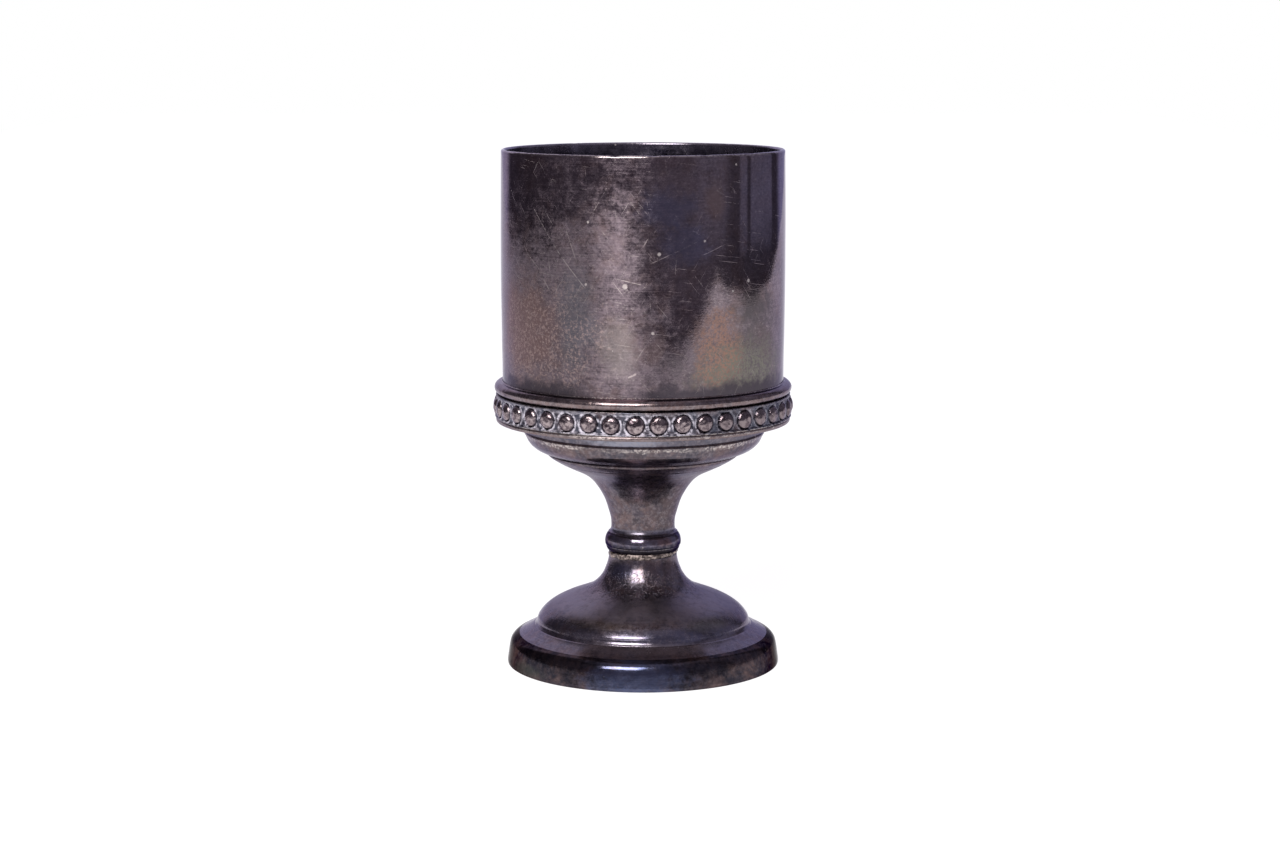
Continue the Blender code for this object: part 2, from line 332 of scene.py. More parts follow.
def stroke(graph, flat, start, end, width):
    """One scratch from start to end, each (degrees from the front, height)."""
    ends = [(math.radians(angle) * CUP_RADIUS, height, 0.0) for angle, height in (start, end)]
    run = tuple(b - a for a, b in zip(*ends))
    square = sum(value * value for value in run)
    offset = graph.vector("SUBTRACT", flat, ends[0])
    share = graph.times(graph.vector("DOT_PRODUCT", offset, run), 1 / square)
    share = graph.node("ShaderNodeClamp", {"Value": share}).outputs[0]
    nearest = graph.scaled(graph.node("ShaderNodeCombineXYZ", dict(enumerate(run))).outputs[0], share)
    away = graph.vector("DISTANCE", offset, nearest)
    return graph.step(away, width, width * 0.3)


def patch(graph, flat, place, size, edge):
    """A soft-edged patch round a place, uneven by edge. place and size are (degrees, mm)."""
    centre = (math.radians(place[0]) * CUP_RADIUS, place[1], 0.0)
    offset = graph.vector("SUBTRACT", flat, centre)
    offset = graph.vector("DIVIDE", offset, (math.radians(size[0]) * CUP_RADIUS, size[1], 1.0))
    uneven = graph.plus(graph.vector("LENGTH", offset), graph.times(edge, -1.6), 0.8)
    return graph.step(uneven, 1.15, 0.35)


def start_material(name):
    """A material with its graph and its Principled shader."""
    material = bpy.data.materials.new(name)
    material.use_nodes = True
    tree = material.node_tree
    return material, Graph(tree), tree.nodes["Principled BSDF"]


def finish_plate(graph, shader, colour, roughness, bump, strength, anisotropy=0.0, edge=EDGE_TINT):
    """Feeds a metal's Principled shader. edge tints what it mirrors at a glancing angle."""
    graph.feed(shader.inputs["Base Color"], colour)
    graph.feed(shader.inputs["Metallic"], 1.0)
    graph.feed(shader.inputs["Roughness"], roughness)
    graph.feed(shader.inputs["Specular Tint"], edge)
    normal = graph.node("ShaderNodeBump", {"Height": bump, "Strength": 1.0, "Distance": strength * MM})
    graph.feed(shader.inputs["Normal"], normal.outputs[0])
    if anisotropy != 0.0:
        tangent = graph.node("ShaderNodeTangent", {}, direction_type="RADIAL", axis="Z")
        graph.feed(shader.inputs["Tangent"], tangent.outputs[0])
        graph.feed(shader.inputs["Anisotropic"], anisotropy)
        graph.feed(shader.inputs["Anisotropic Rotation"], 0.25)


def share_of(graph, name):
    """A share that the mesh carries, such as how much residue lies on a point."""
    return graph.node("ShaderNodeAttribute", {}, attribute_name=name).outputs["Fac"]


# ---------------------------------------------------------------- materials

# Pale worn metal. The same colour paints a highlight on the collar's top edge and on the knop's step.
WORN_AND_HIGHLIGHT = (0.58, 0.52, 0.49)
UMBER = (0.165, 0.108, 0.100)
# The colours of the plate where the tarnish is thick and where it is thin.
CUP_TINT = ((0.098, 0.077, 0.091), (0.250, 0.200, 0.225))
COLLAR_TINT = ((0.115, 0.088, 0.092), (0.300, 0.250, 0.255))
DISH_TINT = ((0.052, 0.047, 0.059), (0.118, 0.108, 0.128))
STEM_TINT = ((0.058, 0.049, 0.058), (0.136, 0.116, 0.138))
KNOP_TINT = ((0.105, 0.098, 0.138), (0.220, 0.205, 0.280))
FOOT_TINT = ((0.098, 0.088, 0.108), (0.220, 0.200, 0.245))
PLINTH_TINT = ((0.020, 0.018, 0.024), (0.040, 0.038, 0.052))
FIELD_TINT = ((0.045, 0.047, 0.065), (0.125, 0.130, 0.170))
SCUFFED = 0.42  # roughness where the polish is gone
BLACKENED = (0.055, 0.045, 0.05)


def plate_layers(graph, position, radius, tint, scuff, polish=0.14, streaks=0.2, brown=0.5):
    """The layers that all the plate shares: colour, roughness, relief and two of its noises.

    scuff is how much of the polish is gone, about 0 to 1, and polish is the roughness where
    none is. streaks is how far the wear follows the turning. brown is the share of brown stain.
    """
    clouds = graph.noise(position, 0.055, 5.0, 0.62)
    mottle = graph.noise(position, 0.42, 5.0, 0.68)
    grain = graph.noise(position, 1.7, 4.0, 0.75)
    marks = turned_marks(graph, position, radius, 0.10, 4.0)
    tone = graph.plus(graph.times(clouds, 0.7), graph.times(mottle, 0.7), graph.times(grain, 0.7), -0.55)
    tone = graph.plus(tone, graph.times(graph.plus(marks, -0.5), 0.6))
    colour = graph.blend(graph.step(tone, 0.20, 0.80), *tint)
    stain = graph.noise(position, 0.13, 6.0, 0.72, distortion=0.5)
    colour = graph.blend(graph.times(graph.step(stain, 0.44, 0.66), brown), colour, UMBER)
    worn = graph.plus(graph.times(mottle, 0.7), graph.times(clouds, 0.6), graph.times(grain, 0.5), -0.90)
    worn = graph.plus(worn, scuff, graph.times(graph.plus(marks, -0.5), streaks * 2))
    roughness = graph.step(worn, 0.0, 1.0, polish, SCUFFED)
    relief = graph.plus(graph.times(marks, streaks), graph.times(grain, 0.5), graph.times(mottle, 0.5))
    return colour, roughness, relief, mottle, grain


def specks(graph, position, scale, size, chance):
    """Small round spots scattered over a surface."""
    away, colour = graph.cells(position, scale)
    pick = graph.node("ShaderNodeSeparateColor", {0: colour}).outputs
    radius = graph.times(graph.step(pick[0], 1.0 - chance, 1.0, 0.0, 1.0), size)
    return graph.calc("LESS_THAN", away, radius)


def cup_material():
    """The beaker: brushed round, tarnished in clouds, scratched and stained by use, with painted dark
    reflection on its lower right.
    """
    material, graph, shader = start_material("cup_plate")
    position, radius, height, flat = surface_places(graph)
    coarse = graph.noise(position, 0.2, 4.0, 0.7)
    inside = graph.calc("LESS_THAN", radius, CUP_RADIUS - 0.6)
    across = graph.node("ShaderNodeSeparateXYZ", {0: flat}).outputs[0]
    uneven = graph.plus(across, graph.times(coarse, 10.0), -5.0)
    left = graph.times(graph.step(uneven, 16.0, -8.0), graph.step(across, -80, -10))
    least = graph.step(across, -24, -6, 0.28, 0.62)
    lower = graph.step(graph.plus(height, graph.times(coarse, 14.0), -7.0), 128, 86)
    lower = graph.plus(least, graph.times(lower, graph.calc("SUBTRACT", 1.0, least)))
    scuff = graph.plus(0.02, graph.times(left, lower, 0.80))
    scuff = graph.calc("MAXIMUM", scuff, graph.times(inside, 0.5))
    layers = plate_layers(graph, position, radius, CUP_TINT, scuff, 0.035, 0.16, 0.5)
    colour, roughness, relief, mottle, grain = layers

    fine = graph.noise(position, 1.4, 6.0, 0.78)
    right = graph.times(graph.step(across, -6, 16), graph.step(across, 105, 80))
    haze = graph.times(graph.step(fine, 0.36, 0.62), graph.step(height, 92, 104, 0.25, 1.0))
    haze = graph.times(haze, graph.plus(0.08, graph.times(right, 0.28)))
    colour = graph.blend(haze, colour, (0.31, 0.265, 0.285))
    flecks = graph.noise(graph.vector("MULTIPLY", position, (1.0, 1.0, 1.6)), 1.2, 6.0, 0.85)
    colour = graph.blend(graph.step(flecks, 0.54, 0.63, 0.0, 0.50), colour, (0.46, 0.395, 0.385))
    colour = graph.blend(graph.step(flecks, 0.46, 0.37, 0.0, 0.50), colour, BLACKENED)
    for place, size, tinge, share in (
        ((-56, 88), (24, 14), (0.20, 0.125, 0.115), 0.65),
        ((-27, 91), (10, 13), (0.13, 0.143, 0.165), 0.45),
        ((-10, 84), (9, 9), (0.24, 0.22, 0.20), 0.40),
    ):
        colour = graph.blend(graph.times(patch(graph, flat, place, size, coarse), share), colour, tinge)
    colour = graph.blend(graph.times(inside, 0.7), colour, (0.215, 0.205, 0.270))
    for place, size, share in (
        ((9, 117), (12, 6), 0.40),
        ((17, 109), (12, 6), 0.40),
        ((56, 118), (24, 20), 0.20),
    ):
        blue = patch(graph, flat, place, size, coarse)
        colour = graph.blend(graph.times(blue, share), colour, (0.19, 0.21, 0.34))
    ruddy = patch(graph, flat, (29, 119), (5, 6), coarse)
    colour = graph.blend(graph.times(ruddy, 0.5), colour, (0.30, 0.205, 0.165))
    # Dark tarnish patches on the lower right, which also paint a dark reflection round the pale wedge that
    # the floor mirrors there.
    for place, size, share in (((50, 93.5), (13, 5), 0.75), ((44, 80), (38, 15), 0.62)):
        darkened = patch(graph, flat, place, size, coarse)
        colour = graph.blend(graph.times(darkened, share), colour, (0.078, 0.070, 0.074))
    rust = graph.times(patch(graph, flat, (31, 84), (13, 11), coarse), graph.step(fine, 0.38, 0.60))
    colour = graph.blend(graph.times(rust, 0.75), colour, (0.33, 0.185, 0.135))
    green = graph.times(patch(graph, flat, (48, 78), (28, 9), coarse), graph.step(fine, 0.62, 0.40))
    colour = graph.blend(graph.times(green, 0.65), colour, (0.20, 0.20, 0.155))
    warm = graph.times(patch(graph, flat, (-44, 84), (34, 18), coarse), graph.step(fine, 0.50, 0.60))
    colour = graph.blend(graph.times(warm, 0.7), colour, (0.50, 0.37, 0.345))
    # Darker in a strip just above the collar, and much less so in a stretch at the front left.
    collar_strip = graph.plus(height, graph.times(mottle, 5.0), graph.times(coarse, 5.0), -5.0)
    cleared = graph.times(graph.step(across, -20, -13), graph.step(across, 3, -2))
    collar_strip = graph.step(collar_strip, COLLAR_TOP + 4.6, COLLAR_TOP + 1.2)
    collar_strip = graph.times(collar_strip, graph.step(cleared, 0, 1, 0.88, 0.2))
    colour = graph.blend(collar_strip, colour, (0.055, 0.047, 0.058))
    roughness = graph.plus(roughness, graph.times(warm, 0.10), graph.times(rust, 0.05))

    slants = ((8, 0.68), (52, 0.69), (-58, 0.685), (84, 0.71))
    marks = [hairlines(graph, flat, slant, 3.6, keep) for slant, keep in slants]
    for start, end, width in (
        ((-48, 117), (-33, 105.5), 0.16),
        ((-33, 105.5), (-23, 98.6), 0.13),
        ((-52, 106), (-45, 102.5), 0.10),
        ((-31, 112), (-26, 104), 0.09),
        ((12.9, 106.6), (12.3, 102.0), 0.16),
        ((-10, 100.9), (-1, 99.6), 0.12),
        ((3, 104.6), (21, 109.5), 0.10),
        ((24, 106.4), (33, 108.6), 0.08),
        ((29.5, 121.6), (32.5, 120.6), 0.22),
        ((31.5, 122.4), (32.5, 121.4), 0.16),
        ((-5.5, 77.4), (-3, 78.2), 0.30),
    ):
        marks.append(stroke(graph, flat, start, end, width))
    scratched = marks[0]
    for mark in marks[1:]:
        scratched = graph.calc("MAXIMUM", scratched, mark)
    scratched = graph.times(scratched, graph.step(mottle, 0.3, 0.6), graph.step(left, 0.0, 1.0, 0.5, 1.0))

    spots = specks(graph, position, 0.16, 0.055, 0.5)
    for place, size in (
        ((-7.0, 99.1), 0.75),
        ((6.1, 106.8), 0.58),
        ((45.4, 99.6), 0.55),
        ((37.2, 97.4), 0.36),
        ((3.7, 88.0), 0.50),
        ((38.8, 127.6), 0.40),
        ((24.3, 109.7), 0.40),
        ((-22.6, 99.4), 0.40),
    ):
        centre = (math.radians(place[0]) * CUP_RADIUS, place[1], 0.0)
        away = graph.plus(graph.vector("DISTANCE", flat, centre), graph.times(grain, 0.5), -0.25)
        spots = graph.calc("MAXIMUM", spots, graph.step(away, size, size * 0.5))

    rim = graph.step(height, HEIGHT - 0.60, HEIGHT - 0.25)
    rim = graph.times(rim, graph.step(fine, 0.40, 0.58, 0.05, 0.8))
    rim = graph.times(rim, graph.calc("SUBTRACT", 1.0, graph.times(inside, 0.6)))
    wear = graph.calc("MAXIMUM", graph.times(scratched, 0.6), rim)
    colour = graph.blend(wear, colour, WORN_AND_HIGHLIGHT)
    colour = graph.blend(graph.times(spots, 0.75), colour, (0.56, 0.51, 0.49))
    roughness = graph.plus(roughness, graph.times(scratched, 0.15), graph.times(spots, 0.30))
    relief = graph.plus(relief, graph.times(scratched, -0.8))
    finish_plate(graph, shader, colour, roughness, relief, 0.008, graph.step(left, 0, 1, 0.3, 0.75))
    return material


def dark_material(
    name,
    tint,
    scuff=(0.4, 0.4, 0.4),
    brown=0.3,
    polish=0.14,
    wear_and_highlight_lines=(),
    shade_and_dirt_lines=(),
    tinges=(),
    pitted=0.0,
    edge=EDGE_TINT,
):
    """Plate on the mouldings, stem and foot.

    scuff is its share below the dome, on the dome and above it. The pale lines are (height,
    reach, share) of turned edges: worn metal, and on the collar's top and the knop's step a
    painted highlight too. The dark lines are the same for dirt in a joint and for painted
    shade under the knop's ring. tinges are patches of (place, size, colour, share), some of
    them painted light or shade. pitted is how deep the corrosion is on the neck.
    """
    material, graph, shader = start_material(name)
    position, radius, height, flat = surface_places(graph)
    below, domed, above = scuff
    lower = graph.step(height, 12, 16, below, domed)
    upper = graph.step(height, 17.5, 20.5, 0.0, above - domed)
    layers = plate_layers(graph, position, radius, tint, graph.plus(lower, upper), polish)
    colour, roughness, relief, mottle, grain = layers
    patches = graph.noise(position, 0.34, 6.0, 0.74)
    rusty = graph.times(graph.step(patches, 0.45, 0.60), brown)
    colour = graph.blend(rusty, colour, (0.25, 0.172, 0.155))
    roughness = graph.plus(roughness, graph.times(rusty, 0.08))
    for place, size, tinge, share in tinges:
        colour = graph.blend(graph.times(patch(graph, flat, place, size, patches), share), colour, tinge)
    blotches = graph.noise(position, 0.40, 6.0, 0.74, distortion=0.6)
    colour = graph.blend(graph.times(graph.step(blotches, 0.48, 0.64), brown), colour, BLACKENED)
    flecks = graph.step(graph.noise(position, 1.0, 6.0, 0.75), 0.46, 0.64)
    colour = graph.blend(graph.times(flecks, brown), colour, (0.33, 0.285, 0.30))
    wear = graph.times(specks(graph, position, 0.22, 0.045, 0.45), 0.6)
    dirt = 0.0
    crumbs = graph.noise(position, 1.5, 4.0, 0.7)
    # Pale lines: worn metal, and in places a painted highlight. Dark lines: dirt in a joint, and painted
    # shade below the knop's ring.
    for line, reach, share in (*wear_and_highlight_lines, *shade_and_dirt_lines):
        away = graph.calc("ABSOLUTE", graph.plus(height, -line))
        uneven = graph.plus(away, graph.times(graph.plus(mottle, patches, -1.0), 2.6 * reach))
        near = graph.step(uneven, reach, reach * 0.2, 0.0, share)
        if (line, reach, share) in shade_and_dirt_lines:
            dirt = graph.calc("MAXIMUM", dirt, near)
        else:
            near = graph.times(near, graph.step(crumbs, 0.45, 0.56, 0.12, 1.0))
            near = graph.times(near, graph.step(graph.noise(position, 0.12, 3.0, 0.6), 0.38, 0.56, 0.2, 1.0))
            wear = graph.calc("MAXIMUM", wear, near)
    # Pale worn metal; on the collar's top and the knop's step this is also a painted highlight.
    colour = graph.blend(wear, colour, WORN_AND_HIGHLIGHT)
    roughness = graph.plus(roughness, graph.times(wear, 0.10), graph.times(dirt, 0.2))
    # Near-black along the dark lines: dirt in a joint, and painted shade below the knop's ring.
    colour = graph.blend(dirt, colour, (0.035, 0.03, 0.035))
    relief = graph.plus(relief, graph.times(wear, grain, 3.0))
    if pitted:
        near = graph.times(graph.step(height, 16.0, 20.0), graph.step(height, 25.5, 21.5, 0.1, 1.0))
        pits = graph.times(graph.step(graph.noise(position, 1.3, 4.0, 0.65), 0.53, 0.61), near)
        colour = graph.blend(graph.times(pits, 0.5), colour, (0.05, 0.045, 0.05))
        relief = graph.plus(relief, graph.times(pits, -pitted))
    finish_plate(graph, shader, colour, roughness, relief, 0.014, 0.3, edge)
    return material


def bead_material():
    """The cast strip: dark field, pale residue in its corners, pearls rubbed to warm metal."""
    material, graph, shader = start_material("bead_plate")
    position, radius, _, flat = surface_places(graph)
    layers = plate_layers(graph, position, radius, FIELD_TINT, 0.6)
    colour, roughness, relief = layers[:3]
    fine = graph.noise(position, 1.3, 5.0, 0.72)
    broad = graph.noise(position, 0.55, 4.0, 0.7)
    across = graph.node("ShaderNodeSeparateXYZ", {0: flat}).outputs[0]
    darkened = graph.times(graph.step(across, 4, 20), graph.step(across, 105, 80))
    kept = graph.step(darkened, 0.0, 1.0, 1.0, 0.45)
    pearl = share_of(graph, "pearl")
    crumbs = graph.plus(graph.times(fine, 0.5), graph.times(broad, 0.5))
    cleared = graph.times(pearl, graph.step(crumbs, 0.43, 0.56))
    colour = graph.blend(graph.times(pearl, 0.85), colour, (0.130, 0.098, 0.106))
    colour = graph.blend(graph.times(cleared, kept, 0.70), colour, (0.50, 0.42, 0.42))
    groove = share_of(graph, "groove")
    colour = graph.blend(graph.times(groove, 0.85), colour, (0.035, 0.03, 0.04))
    lip = share_of(graph, "lip")
    colour = graph.blend(graph.times(lip, graph.step(fine, 0.40, 0.58)), colour, WORN_AND_HIGHLIGHT)
    residue = graph.times(share_of(graph, "residue"), graph.step(crumbs, 0.43, 0.53), kept)
    colour = graph.blend(residue, colour, (0.70, 0.67, 0.74))
    roughness = graph.plus(roughness, graph.times(residue, 0.40), graph.times(pearl, -0.20))
    metallic = graph.plus(1.0, graph.times(residue, -0.75))
    relief = graph.plus(relief, graph.times(fine, 1.4))
    finish_plate(graph, shader, colour, roughness, relief, 0.045)
    graph.feed(shader.inputs["Metallic"], metallic)
    return material


def solder_material():
    """Grey, pitted solder with dirt in it."""
    material, graph, shader = start_material("solder_grey")
    position = surface_places(graph)[0]
    fine = graph.noise(position, 0.8, 6.0, 0.78)
    colour = graph.blend(graph.step(fine, 0.44, 0.60), (0.07, 0.055, 0.05), (0.52, 0.43, 0.385))
    finish_plate(graph, shader, colour, graph.plus(0.22, graph.times(fine, 0.3)), fine, 0.16)
    graph.feed(shader.inputs["Metallic"], 0.6)
    return material


def brass_material():
    """Unplated brass on the fixing inside, dull with age."""
    material, graph, shader = start_material("raw_brass")
    position, radius = surface_places(graph)[:2]
    clouds = graph.noise(position, 0.25, 5.0, 0.65)
    marks = turned_marks(graph, position, radius, 0.15, 3.5)
    colour = graph.blend(graph.step(clouds, 0.35, 0.68), (0.20, 0.13, 0.06), (0.52, 0.38, 0.18))
    colour = graph.blend(graph.times(graph.step(clouds, 0.62, 0.8), 0.5), colour, (0.16, 0.22, 0.15))
    roughness = graph.plus(0.26, graph.times(clouds, 0.2), graph.times(marks, 0.12))
    finish_plate(graph, shader, colour, roughness, graph.plus(marks, clouds), 0.015, 0.3)
    return material


# ---------------------------------------------------------------- pieces


def cup_outer_radius(height):
    """The beaker swells a little between the collar and the rim."""
    along = (height - COLLAR_TOP) / (HEIGHT - COLLAR_TOP)
    return CUP_RADIUS + CUP_BULGE * math.sin(math.pi * min(max(along, 0.0), 1.0))


def cup_shape(angle, radius, height):
    """Shallow unevenness in the beaker's side, and nicks in its rim."""
    points = on_axis(angle, radius, height)
    side = np.clip((height - BAND_BOTTOM - 4) / 10, 0, 1) * (radius > CUP_RADIUS / 2)
    radius = radius + side * (0.035 * ripple(points, 26, 1) + 0.006 * ripple(points, 9, 2) - 0.03)
    nicked = np.clip(ripple(points, 7, 3) - 0.8, 0, 1) + 0.5 * np.clip(ripple(points, 1.8, 4) - 0.75, 0, 1)
    top = np.clip((height - HEIGHT + 0.6) / 0.6, 0, 1)
    height = height - 0.14 * top * nicked
    radius = radius - 0.10 * top * nicked * np.sign(radius - CUP_RADIUS + CUP_WALL / 2)
    return radius, height, {}


def make_cup():
    """The beaker: floor, fillet and straight side in one, with a rounded rim."""
    rim_radius = CUP_WALL / 2
    rim_centre = (CUP_RADIUS - rim_radius, HEIGHT - rim_radius)
    bore = CUP_RADIUS - CUP_WALL
    floor = BAND_BOTTOM + 1.2
    fillet = 3.0
    outline = [(0.0, floor)] + straight((0.0, floor), (bore - fillet, floor), 8)
    outline += arc((bore - fillet, floor + fillet), (fillet, fillet), -84, 0, 14)
    outline += straight(outline[-1], (bore, rim_centre[1]), 24)
    outline += arc(rim_centre, (rim_radius, rim_radius), 175, 5, 18)
    for height in np.linspace(rim_centre[1], COLLAR_TOP, 64):
        outline.append((cup_outer_radius(height), height))
    outline += straight(outline[-1], (CUP_RADIUS, BAND_BOTTOM + 0.6), 8)
    outline += [(CUP_RADIUS - 0.6, BAND_BOTTOM), (0.0, BAND_BOTTOM)]
    mesh = lathe("cup", outline, 560, cup_shape, closed=False)
    piece("cup", mesh, cup_material(), "cup_plate", "cup")


def worn_shape(depth, wavelength, seed):
    """Unevenness from casting and use, the same for a whole ring."""

    def shape(angle, radius, height):
        points = on_axis(angle, radius, height)
        rough = 0.6 * ripple(points, wavelength, seed) + 0.4 * ripple(points, wavelength / 3.5, seed + 1)
        return radius + depth * rough, height, {}

    return shape


def make_collar():
    """The half-round wire above the beads, with its solder fillet against the cup."""
    centre = (TRIM_BORE + 0.34, (COLLAR_TOP + COLLAR_BOTTOM) / 2)
    radii = (COLLAR_RADIUS - centre[0], (COLLAR_TOP - COLLAR_BOTTOM) / 2)
    outline = [(TRIM_BORE, COLLAR_TOP + 0.30), (TRIM_BORE + 0.12, COLLAR_TOP + 0.10)]
    outline += arc(centre, radii, 92, -90, 30) + [(TRIM_BORE, COLLAR_BOTTOM)]
    mesh = lathe("collar_moulding", outline, 480, worn_shape(0.018, 5.0, 11))
    # The pale line along the collar's top is worn metal and a painted highlight.
    wear_and_highlight_lines = [(COLLAR_TOP + 0.15, 0.16, 0.7)]
    material = dark_material("collar_plate", COLLAR_TINT, (0.35,) * 3, 0.5, 0.12, wear_and_highlight_lines)
    piece("collar_moulding", mesh, material, "dark_plate", "collar_moulding")


def band_shape(angle, radius, height):
    """Raises the pearls on the field, and says where pearls, lips and residue are."""
    middle = (BAND_TOP + BAND_BOTTOM) / 2
    pitch = 360 / PEARL_COUNT
    number = np.round((angle - FIRST_PEARL) / pitch)
    random = np.random.default_rng(21)
    size = random.uniform(0.95, 1.02, PEARL_COUNT)[number.astype(int) % PEARL_COUNT]
    lift = random.uniform(-0.12, 0.12, PEARL_COUNT)[number.astype(int) % PEARL_COUNT]
    shift = random.uniform(-0.12, 0.12, PEARL_COUNT)[number.astype(int) % PEARL_COUNT]
    across = np.radians(angle - FIRST_PEARL - number * pitch) * (FIELD_RADIUS + 0.4) + shift
    away = np.hypot(across, height - middle - lift) / (PEARL_RADIUS * size)
    front = radius > FIELD_RADIUS - 0.1
    inside = np.clip(1 - away**2, 0, 1)
    points = on_axis(angle, radius, height)
    rough = ripple(points, 1.6, 22)
    dents = 0.08 * rough + 0.07 * ripple(points, 2.8, 25)
    pearl = np.minimum(PEARL_RISE * (np.sqrt(inside) + dents * inside), PEARL_RISE)
    groove = np.exp(-(((away - 1.07) / 0.07) ** 2))
    field = 0.05 * rough + 0.05 * ripple(points, 4.5, 23)
    radius = radius + front * (pearl - 0.2 * groove + field * (1 - np.sqrt(inside)) * 0.6)
    off_middle = abs(height - middle)
    on_field = np.clip((2.62 - off_middle) / 0.25, 0, 1)
    halo = 1.3 * np.exp(-(((away - 1.24) / 0.12) ** 2)) + 0.45 * np.clip((off_middle - 1.9) / 0.4, 0, 1)
    spread = 0.60 + 0.6 * np.cos(np.radians(angle + 45)) + 0.40 * ripple(points, 9, 24) + 0.50 * rough
    residue = np.clip(halo * spread, 0, 1) * on_field * (away > 1.12) * front
    lip = np.where(height > middle, 0.3, 1.0) * np.clip((off_middle - 2.5) / 0.12, 0, 1)
    pearl_share = front * np.clip((1.02 - away) / 0.06, 0, 1)
    shares = {"pearl": pearl_share, "groove": groove * front, "residue": residue, "lip": lip}
    return radius, height, shares


def make_bead_band():
    """The cast strip: a sunk field between two thin lips, and a row of pearls on it."""
    top = COLLAR_BOTTOM - HAIRLINE
    outline = [(TRIM_BORE, top), (36.82, top)] + arc((36.82, top - 0.18), (0.18, 0.18), 70, 0, 4)
    outline += [(37.0, BAND_TOP - 0.32), (36.92, BAND_TOP - 0.45), (FIELD_RADIUS, BAND_TOP - 0.52)]
    outline += straight((FIELD_RADIUS, BAND_TOP - 0.52), (FIELD_RADIUS, BAND_BOTTOM + 0.68), 30)
    outline += [(36.93, BAND_BOTTOM + 0.60), (37.15, BAND_BOTTOM + 0.48)]
    outline += arc((37.05, BAND_BOTTOM + 0.25), (0.2, 0.2), 60, -80, 6)
    outline += [(TRIM_BORE, BAND_BOTTOM + 0.03)]
    mesh = lathe("bead_band", outline, 30 * PEARL_COUNT, band_shape)
    piece("bead_band", mesh, bead_material(), "bead_plate", "bead_band")


def make_base_plate():
    """The thin disc under the cup, whose rubbed edge shows below the beads."""
    top = BAND_BOTTOM - HAIRLINE
    middle = (top + PLATE_BOTTOM) / 2
    edge = arc((36.8, middle), (0.2, (top - PLATE_BOTTOM) / 2), 80, -80, 8)
    outline = [(0.0, top), (33.0, top)] + edge + [(33.0, PLATE_BOTTOM), (0.0, PLATE_BOTTOM)]
    mesh = lathe("base_plate", outline, 480, worn_shape(0.04, 4.0, 31), closed=False)
    material = dark_material("worn_edge", COLLAR_TINT, (0.5,) * 3, 0.3, 0.2, [(middle + 0.10, 0.30, 0.9)])
    piece("base_plate", mesh, material, "worn_edge", "base_plate")


def dish_shape(angle, radius, height):
    """The dish sits a little off its axis, towards the right."""
    radius, height, shares = worn_shape(0.02, 7.0, 41)(angle, radius, height)
    outside = np.clip((radius - 20) / 6, 0, 1)
    return radius + outside * 0.3 * (1 + np.sin(np.radians(angle))), height, shares


def make_bowl_dish():
    """The shallow dish under the cup: a coved rim, a rounded side and a flat flange inside."""
    cove = [(30.0, DISH_TOP + 0.26), (29.95, 61.3), (29.86, 60.6), (29.76, 59.95)]
    cove += [(29.79, 59.6), (29.98, 59.3), (29.97, 58.95)]
    side = [(29.75, 58.6), (28.75, 56.7), (26.9, 55.1), (24.6, DISH_BOTTOM + 0.2)]
    outer = scored(curve_through(cove + side, 10), [(54.85, 0.14, 0.16), (56.9, 0.04, 0.1)])
    inner = inner_side(outer, WALL)
    inner[0] = (inner[0][0], DISH_TOP + 0.26)
    flange = [(24.3, DISH_BOTTOM), (12.0, DISH_BOTTOM), (12.0, DISH_BOTTOM + WALL)]
    mesh = lathe("bowl_dish", outer + flange + inner[::-4], 480, dish_shape)
    wear_and_highlight_lines = [(58.75, 0.8, 0.95), (54.75, 0.12, 0.3)]
    tinges = [((0, 60.7), (400, 1.5), (0.120, 0.118, 0.150), 0.7)]
    # Painted highlight: a pale blue patch in the cove at the front, a little to the left.
    tinges += [((-8, 60.7), (22, 1.5), (0.34, 0.35, 0.42), 0.6)]
    material = dark_material("dish_plate", DISH_TINT, (0.3,) * 3, 0.35, 0.12, wear_and_highlight_lines, tinges=tinges)
    piece("bowl_dish", mesh, material, "dark_plate", "bowl_dish")


def make_stem():
    """The trumpet that flares from the waist to the dish."""
    flare = [(24.12, DISH_BOTTOM - HAIRLINE), (24.0, 53.3), (21.6, 51.75), (18.6, 50.25), (15.4, 48.75)]
    flare += [(13.2, 47.2), (11.4, 45.0), (9.7, 42.0), (8.7, 39.0), (8.16, 37.0), (8.03, 35.5)]
    flare += [(8.05, 34.75), (8.15, 34.2), (8.38, 33.8), (8.75, STEM_BOTTOM)]
    outer = scored(curve_through(flare, 9), [(53.35, 0.12, 0.14), (51.6, 0.10, 0.15), (49.6, 0.03, 0.1)])
    inner = inner_side(outer, WALL)[9:]
    inner[-1] = (STEM_BORE, STEM_BOTTOM)
    inner[0] = (22.2, DISH_BOTTOM - HAIRLINE)
    mesh = lathe("stem", outer + inner[::-3], 320, worn_shape(0.015, 6.0, 51))
    # Painted light: a lighter, bluer patch on the flare's left, the side the light comes from.
    tinges = [((-25, 47), (30, 4), (0.17, 0.165, 0.215), 0.5)]
    # Painted shade: a dark patch on the right, away from the light.
    tinges += [((44, 42), (32, 9), (0.070, 0.058, 0.064), 0.6)]
    # Painted reflection: a lighter ring round the stem's lower end, above the knop.
    tinges += [((0, 34.2), (400, 0.8), (0.25, 0.24, 0.30), 0.8)]
    wear_and_highlight_lines = [(53.4, 0.1, 0.3)]
    material = dark_material("stem_plate", STEM_TINT, (0.5,) * 3, 0.4, 0.14, wear_and_highlight_lines, tinges=tinges)
    piece("stem", mesh, material, "dark_plate", "stem")


